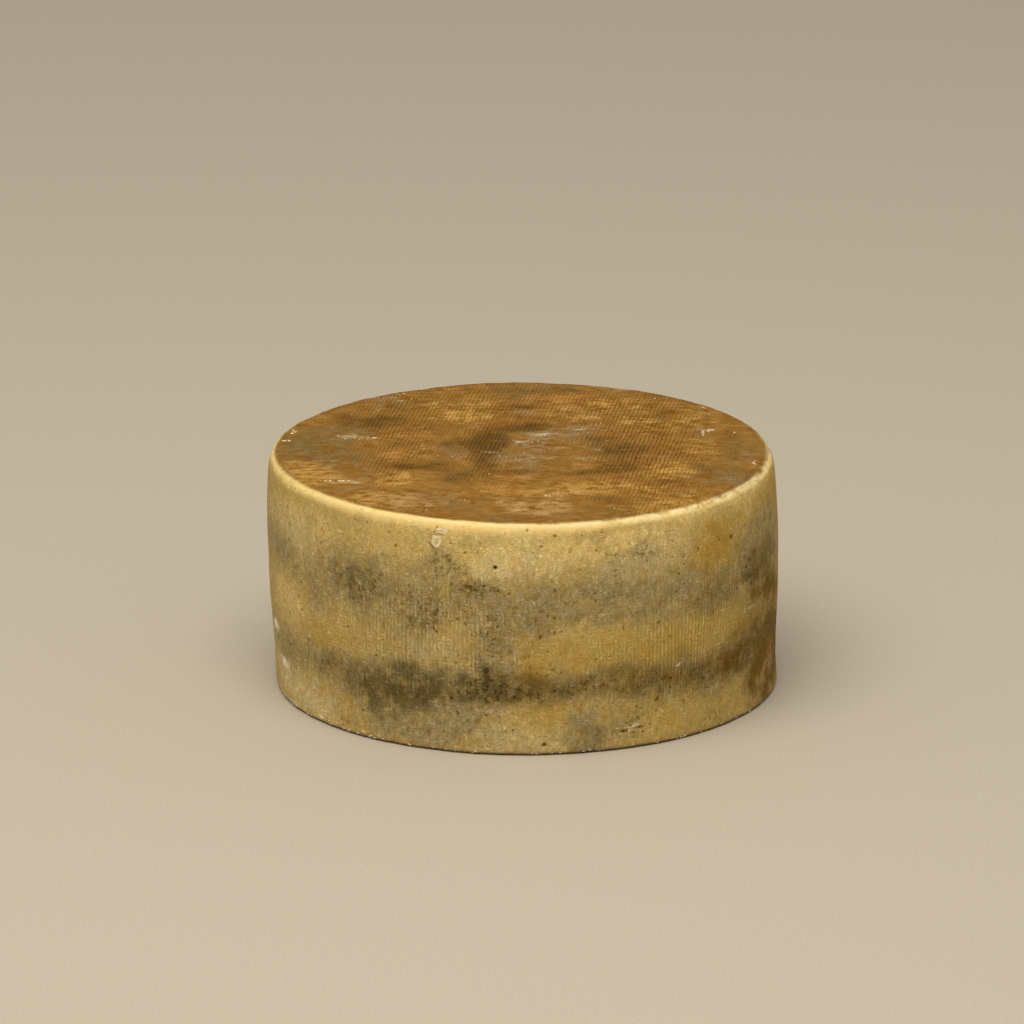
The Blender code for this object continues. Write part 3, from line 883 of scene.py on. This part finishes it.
def crust_fields(places):
    """1 where the brown crust of the flat faces lies and 0 on the side, and the dark line within its edge."""
    left = places.about(*PALE_RIM_AT)
    edge = CRUST_RADIUS - PALE_RIM_WIDTH * left + places.uneven("crust edge")
    crust = smooth_array((edge - places.radius) / (CRUST_SOFTNESS + PALE_RIM_SOFTNESS * left) + 0.5)
    return crust, bell((edge - places.radius - BRINK_INSIDE) / BRINK_WIDTH) * (1 - left)


def band_field(places):
    """The cream band under the rim, fainter at the left."""
    tall = BAND_TALL + BAND_TALLER * places.about(*BAND_AT)
    faint = BAND_FAINT * places.about(*BAND_FAINT_AT)
    return smooth_array((places.z + places.uneven("band edge") - BAND_TOP + tall) / tall) * (1 - faint)


def paste_and_highlight_field(places):
    """Where the worn rim shows its pale paste, with a painted highlight over it."""
    right = places.about(*PASTE_AND_HIGHLIGHT_AT)
    line = smooth_array((PASTE_AND_HIGHLIGHT_REACH - places.from_rim) / PASTE_AND_HIGHLIGHT_SOFTNESS)
    seen = (places.azimuth > PASTE_AND_HIGHLIGHT_LEFT_END) & (places.azimuth < PASTE_AND_HIGHLIGHT_RIGHT_END)
    return np.where(seen, line * (PASTE_AND_HIGHLIGHT_LEAST + (1 - PASTE_AND_HIGHLIGHT_LEAST) * right), 0)


def relief(places, pit_depth, blister_edge):
    """How far the rind stands out at each vertex, in metres."""
    rough_rim = bell(places.from_rim / ROUGH_RIM_REACH) * places.uneven("rim")
    above = smooth_array(places.z / FLAT_BELOW)
    rough = (places.uneven("lumps") + places.uneven("crumples") + rough_rim) * above
    return rough - pit_depth + BLISTER_PROUD * blister_edge


def store_field(mesh, name, values):
    layer = mesh.attributes.new(name, "FLOAT", "POINT")
    layer.data.foreach_set("value", values.astype(np.float32))


def vertex_array(mesh, name):
    values = np.empty(len(mesh.vertices) * 3, dtype=np.float32)
    mesh.vertices.foreach_get(name, values)
    return values.reshape(-1, 3).astype(float)


def add_object(name, data):
    added = bpy.data.objects.new(name, data)
    bpy.context.scene.collection.objects.link(added)
    return added


def make_rind():
    """The whole surface of the wheel, with its relief and its stains as vertex attributes."""
    form = turned_mesh()
    refine_near_pits(form)
    form.verts.ensure_lookup_table()
    places = Places(np.array([vertex.co[:] for vertex in form.verts]))
    for vertex in form.verts:
        vertex.co = as_aged(vertex.co)
    mesh = bpy.data.meshes.new("rind")
    form.to_mesh(mesh)
    form.free()
    place_over_origin(mesh)

    blister, blister_edge, blister_dirt = blister_fields(places)
    pit_depth, pit_shade = pit_fields(places, blister)
    standing = relief(places, pit_depth, blister_edge)
    moved = vertex_array(mesh, "co") + vertex_array(mesh, "normal") * standing[:, None]
    mesh.vertices.foreach_set("co", moved.ravel().astype(np.float32))
    mesh.update()
    mesh.shade_smooth()

    fields = stain_fields(places)
    # The pit field is painted shade in the pits, with the dirt round the blister's open lower left
    fields["pit"] = np.maximum(pit_shade, blister_dirt)
    fields["blister"] = blister
    fields["blister edge"] = blister_edge
    fields["flat"], fields["brink"] = crust_fields(places)
    fields["band"] = band_field(places)
    fields["paste_and_highlight"] = paste_and_highlight_field(places)
    for name, values in fields.items():
        store_field(mesh, name, values)
    return add_object("rind", mesh)


def add_fleck(form, ground, start, sight, length, turn, draw):
    """One thin flake of old crust, an uneven low lump part sunk in the rind, where a line meets it."""
    hit, outward, _, _ = ground.ray_cast(start, sight)
    if hit is None:
        return
    narrow = draw.uniform(*FLECK_WIDTHS)
    tilt = outward.to_track_quat("Z", "Y").to_matrix()
    rings = []
    for share, rise in FLECK_RINGS:
        ring = []
        for i in range(FLECK_SIDES):
            angle = 2 * math.pi * i / FLECK_SIDES
            reach = length / 2 * share * draw.uniform(*FLECK_RAGGED)
            along, aside = reach * math.cos(angle), reach * narrow * math.sin(angle)
            x = along * math.cos(turn) - aside * math.sin(turn)
            y = along * math.sin(turn) + aside * math.cos(turn)
            ring.append(form.verts.new(hit + tilt @ Vector((x, y, rise))))
        rings.append(ring)
    for lower, upper in zip(rings, rings[1:]):
        for face in join_rings(lower, upper):
            form.faces.new(face)
    form.faces.new(rings[-1])
    form.faces.new(rings[0][::-1])


def from_above(x, y, aside, away):
    """A line down onto the top, a little way from a place in millimetres."""
    return Vector(((x + aside) * MM, (y + away) * MM, 2 * HEIGHT)), Vector((0, 0, -1))


def from_outside(azimuth, z, aside, higher):
    """A level line in towards the side, a little way round and above a place."""
    angle = math.radians(azimuth) + aside * MM / BELLY_RADIUS
    outward = Vector((math.sin(angle), -math.cos(angle), 0))
    return outward * 2 * BELLY_RADIUS + Vector((0, 0, (z + higher) * MM)), -outward


def make_flecks(rind):
    """The pale flecks, all in one piece."""
    draw = random.Random(FLECK_SEED)
    whole = bmesh.new()
    whole.from_mesh(rind.data)
    ground = BVHTree.FromBMesh(whole)
    whole.free()
    form = bmesh.new()
    for aim, groups in ((from_above, FLECKS), (from_outside, SIDE_FLECKS)):
        for a, b, half_width, half_depth, count, longest, lie in groups:
            for _ in range(count):
                shift = (draw.uniform(-1, 1) * half_width, draw.uniform(-1, 1) * half_depth)
                turn = math.radians(lie) + draw.uniform(-1, 1) * FLECK_TURN_SPREAD
                length = longest * draw.uniform(*FLECK_LENGTHS) * MM
                add_fleck(form, ground, *aim(a, b, *shift), length, turn, draw)
    mesh = bpy.data.meshes.new("flecks")
    form.to_mesh(mesh)
    form.free()
    mesh.shade_smooth()
    return add_object("flecks", mesh)


class Shading:
    """Adds shader nodes to a dry material and wires them together."""

    def __init__(self, name):
        self.material = bpy.data.materials.new(name)
        self.material.use_nodes = True
        self.nodes = self.material.node_tree.nodes
        self.links = self.material.node_tree.links
        self.surface = self.nodes["Principled BSDF"].inputs
        self.surface["Specular IOR Level"].default_value = GLOSS_LEVEL
        self.place = self.nodes.new("ShaderNodeTexCoord").outputs["Object"]
        self.x, self.y, self.z = self.add("ShaderNodeSeparateXYZ", {0: self.place}).outputs

    def feed(self, socket, value):
        if isinstance(value, bpy.types.NodeSocket):
            self.links.new(value, socket)
        elif isinstance(value, tuple) and len(value) == 3 and len(socket.default_value) == 4:
            socket.default_value = (*value, 1)
        else:
            socket.default_value = value

    def add(self, kind, inputs, **settings):
        node = self.nodes.new(kind)
        for name, value in settings.items():
            setattr(node, name, value)
        for key, value in inputs.items():
            self.feed(node.inputs[key], value)
        return node

    def math(self, operation, a, b=0.0):
        return self.add("ShaderNodeMath", {0: a, 1: b}, operation=operation).outputs[0]

    def vector(self, operation, a, b):
        return self.add("ShaderNodeVectorMath", {0: a, 1: b}, operation=operation).outputs[0]

    def plus(self, *terms):
        total = terms[0]
        for term in terms[1:]:
            total = self.math("ADD", total, term)
        return total

    def times(self, *factors):
        product = factors[0]
        for factor in factors[1:]:
            product = self.math("MULTIPLY", product, factor)
        return product

    def rest(self, value):
        """What is left of 1."""
        return self.math("SUBTRACT", 1.0, value)

    def at_least(self, least, value):
        """A value from 0 to 1, brought up so that it starts at the least."""
        return self.plus(least, self.times(value, 1 - least))

    def centred(self, value, strength):
        """A noise that lies about 0, times a strength."""
        return self.math("MULTIPLY", self.math("SUBTRACT", value, 0.5), strength)

    def field(self, name):
        return self.add("ShaderNodeAttribute", {}, attribute_name=name).outputs["Fac"]

    def noise(self, size, detail=2.0, roughness=0.5, stretch=EVEN, shift=0.0):
        """Noise from 0 to 1, a size in millimetres across."""
        moved = self.vector("ADD", self.vector("MULTIPLY", self.place, stretch), (shift, shift, shift))
        inputs = {"Vector": moved, "Scale": 1 / (size * MM), "Detail": detail, "Roughness": roughness}
        return self.add("ShaderNodeTexNoise", inputs).outputs["Fac"]

    def step(self, value, low, high):
        """0 at low, 1 at high and smooth between."""
        inputs = {"Value": value, "From Min": low, "From Max": high}
        return self.add("ShaderNodeMapRange", inputs, interpolation_type="SMOOTHSTEP").outputs[0]

    def clamped(self, value):
        return self.add("ShaderNodeClamp", {0: value}).outputs[0]

    def between(self, share, a, b):
        """A number part of the way from a to b."""
        return self.add("ShaderNodeMix", {0: share, 2: a, 3: b}).outputs[0]

    def mix(self, share, a, b):
        """A colour part of the way from a to b."""
        return self.add("ShaderNodeMix", {0: share, 6: a, 7: b}, data_type="RGBA").outputs[2]

    def scale_colour(self, colour, factor):
        return self.add("ShaderNodeVectorMath", {0: colour, 3: factor}, operation="SCALE").outputs[0]

    def tinted(self, colour, share, tint):
        return self.mix(share, colour, self.vector("MULTIPLY", colour, tint))


class RindShading(Shading):
    """The rind's fields and noises, which its colour and its bump share."""

    def __init__(self):
        super().__init__("rind")
        self.flat = self.field("flat")
        off_flat = self.rest(self.flat)
        self.printed = self.math("MAXIMUM", self.field("print"), self.times(self.field("umber"), self.flat))
        self.marks = self.field("marks")
        self.mould = self.field("mould")
        self.band = self.times(self.field("band"), off_flat)
        # Painted shade along the bottom of the side, where the wheel meets the floor
        self.foot = self.times(self.when(self.z, "foot"), off_flat)
        self.noises = {name: self.noise(*row) for name, row in RIND_NOISES.items()}
        self.noises["run"] = self.here(self.noises["run side"], self.noises["run top"])

    def here(self, side, top):
        """A number for the side, and another for the flat faces."""
        return self.between(self.flat, side, top)

    def when(self, value, name):
        return self.step(value, *STEPS[name])

    def patches(self, pairs, strengths):
        """How much thicker or thinner stains lie, as noises about 1."""
        found = []
        for pair in pairs:
            layers = [self.centred(self.noises[name], amount) for name, amount in zip(pair, strengths)]
            found.append(self.plus(1.0, *layers))
        return found

    def layered(self, amounts):
        """Some of the noises on top of each other, about 0."""
        return self.plus(*[self.centred(self.noises[name], amount) for name, amount in amounts.items()])


def stained(s, base, order, patches, edge):
    """A base colour with each kind of stain over it, thicker and thinner as the patches say."""
    colour = COLOURS[base]
    for i, kind in enumerate(order):
        share = s.step(s.times(s.field(kind), patches[i % len(patches)]), edge, 1.0 - edge)
        colour = s.mix(share, colour, COLOURS[kind])
    return colour


def stain_colour(s):
    """The rind's stains, the cream band under its rim and the dark line within the crust's edge."""
    side = stained(s, "side", SIDE_ORDER, s.patches(SIDE_PATCHES, SIDE_PATCHINESS), 0.0)
    side = s.mix(s.times(s.band, 0.95), side, COLOURS["cream"])
    patches = s.patches(TOP_PATCHES, TOP_PATCHINESS)
    top = stained(s, "crust", TOP_ORDER, patches, 0.15)
    top = s.mix(s.clamped(s.times(s.field("brink"), 0.25, patches[0])), top, COLOURS["umber"])
    colour = s.mix(s.flat, side, top)
    colour = s.tinted(colour, s.when(s.noises["tint"], "warm"), WARM)
    return s.tinted(colour, s.when(s.noises["tint"], "cool"), COOL)


def cloth_waves(s):
    """The marks of upright and level threads, each from -1 to 1; where they aren't printed they tangle.

    Uprights run up the side, and from front to back on the flat faces.
    """
    loose = s.times(s.rest(s.printed), s.here(*SHOWS["tangle"]))
    tangle = s.times(s.centred(s.noises["tangle"], TANGLE_REACH), loose)
    waver = s.plus(s.centred(s.noises["waver"], WAVER_REACH), tangle)
    azimuth = s.math("ARCTAN2", s.x, s.times(s.y, -1.0))
    side_up = s.plus(s.times(azimuth, float(THREADS_ROUND)), waver)
    side_level = s.plus(s.times(s.z, 2 * math.pi / THREAD_PITCH), waver)
    right = 2 * math.pi / THREAD_PITCH * math.cos(THREAD_TURN)
    back = 2 * math.pi / THREAD_PITCH * math.sin(THREAD_TURN)
    top_up = s.plus(s.times(s.x, right), s.times(s.y, back), waver)
    top_level = s.plus(s.times(s.y, right), s.times(s.x, -back), waver)
    upright = s.math("SINE", s.here(side_up, top_up))
    return upright, s.math("SINE", s.here(side_level, top_level))


def cloth(s):
    """The cloth's marks: their wave, how well they are kept, the light threads and the dark gaps, darkened
    partly as grime and partly as painted shade in the grooves.
    """
    n = s.noises
    upright_wave, level_wave = cloth_waves(s)
    turned = s.here(n["turned side"], n["turned top"])
    upright = s.when(s.plus(turned, s.times(s.printed, s.here(*SHOWS["upright"]))), "upright")
    wave = s.between(upright, level_wave, upright_wave)
    there_side = s.when(s.plus(n["scatter"], s.times(s.printed, 0.05)), "there side")
    there = s.here(there_side, s.when(s.plus(n["broad"], s.times(s.printed, 0.15)), "there top"))
    kept_side = s.when(n["middle"], "kept side")
    kept_top = s.when(s.plus(n["medium"], s.times(s.printed, 0.10)), "kept top")
    kept = s.times(s.at_least(0.25, s.here(kept_side, kept_top)), s.rest(s.times(s.band, 0.8)))
    thread = s.times(s.when(wave, "thread"), there, kept)
    depth = s.here(s.plus(0.06, s.times(s.printed, 0.26)), s.times(s.printed, 0.75))
    broken = s.here(1.0, s.at_least(0.35, s.when(n["scatter"], "broken gap")))
    # The gaps between the threads are darkened, partly as grime and partly as painted shade in the grooves
    groove_shade_and_grime = s.times(s.when(s.times(wave, -1.0), "groove_shade_and_grime"), kept, depth, broken)
    return wave, kept, thread, groove_shade_and_grime


def shaded(s, colour, groove_shade_and_grime):
    """A colour made lighter and darker, from broad mottling down to a fine grain and the cloth's gaps, where
    the darkening is partly grime and partly painted shade in the grooves.
    """
    side = s.times(s.layered(SIDE_UNEVEN), s.plus(0.58, s.times(s.mould, 0.75)))
    uneven = s.times(s.here(side, s.layered(TOP_UNEVEN)), s.rest(s.times(s.band, 0.6)))
    uneven = s.plus(uneven, s.times(groove_shade_and_grime, -1.0))
    follow = s.scale_colour(s.mix(s.flat, SIDE_FOLLOW, TOP_FOLLOW), uneven)
    factor = s.vector("MAXIMUM", s.vector("ADD", follow, (1.0, 1.0, 1.0)), DARKEST)
    return s.vector("MULTIPLY", colour, factor)


def fibres(s, name, width):
    """Thin winding lines, where a noise passes through its middle."""
    level = s.centred(s.noises[name], 1.0)
    return s.rest(s.step(s.math("ABSOLUTE", level), 0.0, width))


def dark_specks(s):
    """Ragged specks of a few sizes, at a few of the cells of a loose scatter."""
    inputs = {"Vector": s.place, "Scale": 1 / SPECK_RAGGED_LENGTH, "Detail": 2.0}
    push = s.add("ShaderNodeTexNoise", inputs).outputs["Color"]
    ragged = s.vector("ADD", s.vector("MULTIPLY", push, (SPECK_RAGGED,) * 3), s.place)
    cells = s.add("ShaderNodeTexVoronoi", {"Vector": ragged, "Scale": 1 / SPECK_SPACING}).outputs
    chance = s.add("ShaderNodeSeparateXYZ", {0: cells["Color"]}).outputs["X"]
    wide = s.plus(SPECK_NARROW, s.times(s.step(chance, *SPECK_WIDER_FROM), SPECK_WIDER))
    inside = s.rest(s.step(cells["Distance"], s.times(wide, 0.5), wide))
    return s.times(inside, s.step(s.plus(chance, s.times(s.marks, SPECK_CHANCE_MARKED)), *SPECK_CHANCE))


def rind_material():
    """The rind: a mottled, cloth-marked crust with mould on it."""
    s = RindShading()
    n = s.noises
    lit = s.mix(s.flat, SIDE_LIT, TOP_LIT)
    wave, kept, thread, groove_shade_and_grime = cloth(s)
    colour = shaded(s, stain_colour(s), groove_shade_and_grime)
    colour = s.tinted(colour, s.times(thread, s.here(*SHOWS["thread"])), lit)

    # Strokes smeared across the flat faces, from left to right
    colour = s.tinted(colour, s.times(s.when(n["run top"], "light stroke"), s.flat, 0.5), lit)
    colour = s.tinted(colour, s.times(s.when(n["run top"], "dark stroke"), s.flat, 0.5), DIRT)

    # Winding fibres, light ones nearly everywhere and dark ones where there is mould
    light = s.times(fibres(s, "light fibres", 0.045), s.when(n["scatter"], "light fibre"))
    light = s.times(light, s.rest(s.times(s.printed, 0.6)), s.rest(s.times(s.band, 0.8)))
    light = s.times(light, s.here(*SHOWS["light fibre"]), s.here(s.at_least(0.5, s.mould), 1.0))
    colour = s.tinted(colour, light, lit)
    dark = s.times(fibres(s, "dark fibres", 0.035), s.when(n["scatter"], "dark fibre"))
    colour = s.tinted(colour, s.times(dark, s.plus(0.16, s.times(s.marks, 0.5))), DIRT)

    # Blotches of dark mould, specks, the paste of the rim with a painted highlight on it, the blister, and
    # painted shade in the pits and along the foot
    blotch = s.when(s.plus(n["dirt"], s.times(s.marks, 0.10)), "blotch")
    colour = s.tinted(colour, s.times(blotch, s.here(s.at_least(0.35, s.marks), 0.20), 0.85), DIRT)
    colour = s.tinted(colour, dark_specks(s), DIRT)
    # The worn rim's pale paste, brightened as a painted highlight
    paste_and_highlight = s.times(s.field("paste_and_highlight"), s.when(s.plus(n["middle"], s.centred(n["broad"], 1.0)), "paste_and_highlight"))
    colour = s.mix(paste_and_highlight, colour, COLOURS["paste_and_highlight"])
    colour = s.mix(s.times(s.field("blister"), 0.55), colour, COLOURS["blister"])
    colour = s.mix(s.times(s.field("blister edge"), 0.95), colour, COLOURS["blister edge"])
    # Painted shade: the pits and the bottom of the foot go towards near black, together with the dirt by the
    # blister
    pit_and_foot_shade_and_dirt = s.math("MAXIMUM", s.times(s.field("pit"), 0.94), s.times(s.foot, 0.75))
    s.feed(s.surface["Base Color"], s.mix(pit_and_foot_shade_and_dirt, colour, COLOURS["pit"]))

    s.feed(s.surface["Roughness"], s.plus(RIND_ROUGHNESS, s.centred(n["middle"], 0.3)))
    height = s.plus(s.layered(BUMPS), s.times(wave, kept, 0.20), s.times(thread, 0.25), light)
    bump = {"Height": height, "Distance": BUMP_HEIGHT, "Strength": BUMP_STRENGTH}
    s.feed(s.surface["Normal"], s.add("ShaderNodeBump", bump).outputs["Normal"])
    return s.material


def plain_material(name, colour, grain, unevenness, roughness):
    """A dull material of one colour, a little uneven."""
    s = Shading(name)
    shade = s.plus(1.0, s.centred(s.noise(*grain), unevenness))
    s.feed(s.surface["Base Color"], s.scale_colour(colour, shade))
    s.surface["Roughness"].default_value = roughness
    return s.material


def make_floor():
    bpy.ops.mesh.primitive_plane_add(size=FLOOR_SIZE)
    floor = bpy.context.object
    floor.name = "floor"
    floor.data.materials.append(plain_material("floor", FLOOR_COLOUR, (1.6, 3, 0.7), 0.32, FLOOR_ROUGHNESS))


def make_light():
    """One large soft light from above the front left, and a pale surround."""
    light = bpy.data.lights.new("key", "AREA")
    light.shape = "DISK"
    light.size = LIGHT_SIZE
    light.energy = LIGHT_POWER
    light.color = LIGHT_COLOUR
    lamp = add_object("key", light)
    lamp.location = LIGHT_PLACE
    sight = Vector((0, 0, HEIGHT / 2)) - Vector(LIGHT_PLACE)
    lamp.rotation_euler = sight.to_track_quat("-Z", "Y").to_euler()
    world = bpy.data.worlds.new("studio")
    world.use_nodes = True
    world.node_tree.nodes["Background"].inputs["Color"].default_value = (1, 1, 1, 1)
    world.node_tree.nodes["Background"].inputs["Strength"].default_value = SURROUND_STRENGTH
    bpy.context.scene.world = world


def make_camera():
    """A long lens that looks down at the wheel. Up is square to the line of sight."""
    sight = Vector((0, math.cos(CAMERA_PITCH), -math.sin(CAMERA_PITCH)))
    up = Vector((0, math.sin(CAMERA_PITCH), math.cos(CAMERA_PITCH)))
    lens = bpy.data.cameras.new("camera")
    lens.lens = CAMERA_LENS_MM
    lens.sensor_width = CAMERA_SENSOR_MM
    lens.clip_end = CAMERA_REACH
    camera = add_object("camera", lens)
    camera.location = CAMERA_AIM + up * CAMERA_RISE - sight * CAMERA_DISTANCE
    camera.rotation_euler = sight.to_track_quat("-Z", "Y").to_euler()
    bpy.context.scene.camera = camera


rind = make_rind()
rind.data.materials.append(rind_material())
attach(rind, "root")
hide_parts("cheese_wheel")

flecks = make_flecks(rind)
flecks.data.materials.append(plain_material("fleck", COLOURS["fleck"], (2, 3), 1.4, FLECK_ROUGHNESS))
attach(flecks, "root")

make_floor()
make_light()
make_camera()
bpy.context.scene.view_settings.view_transform = "Standard"
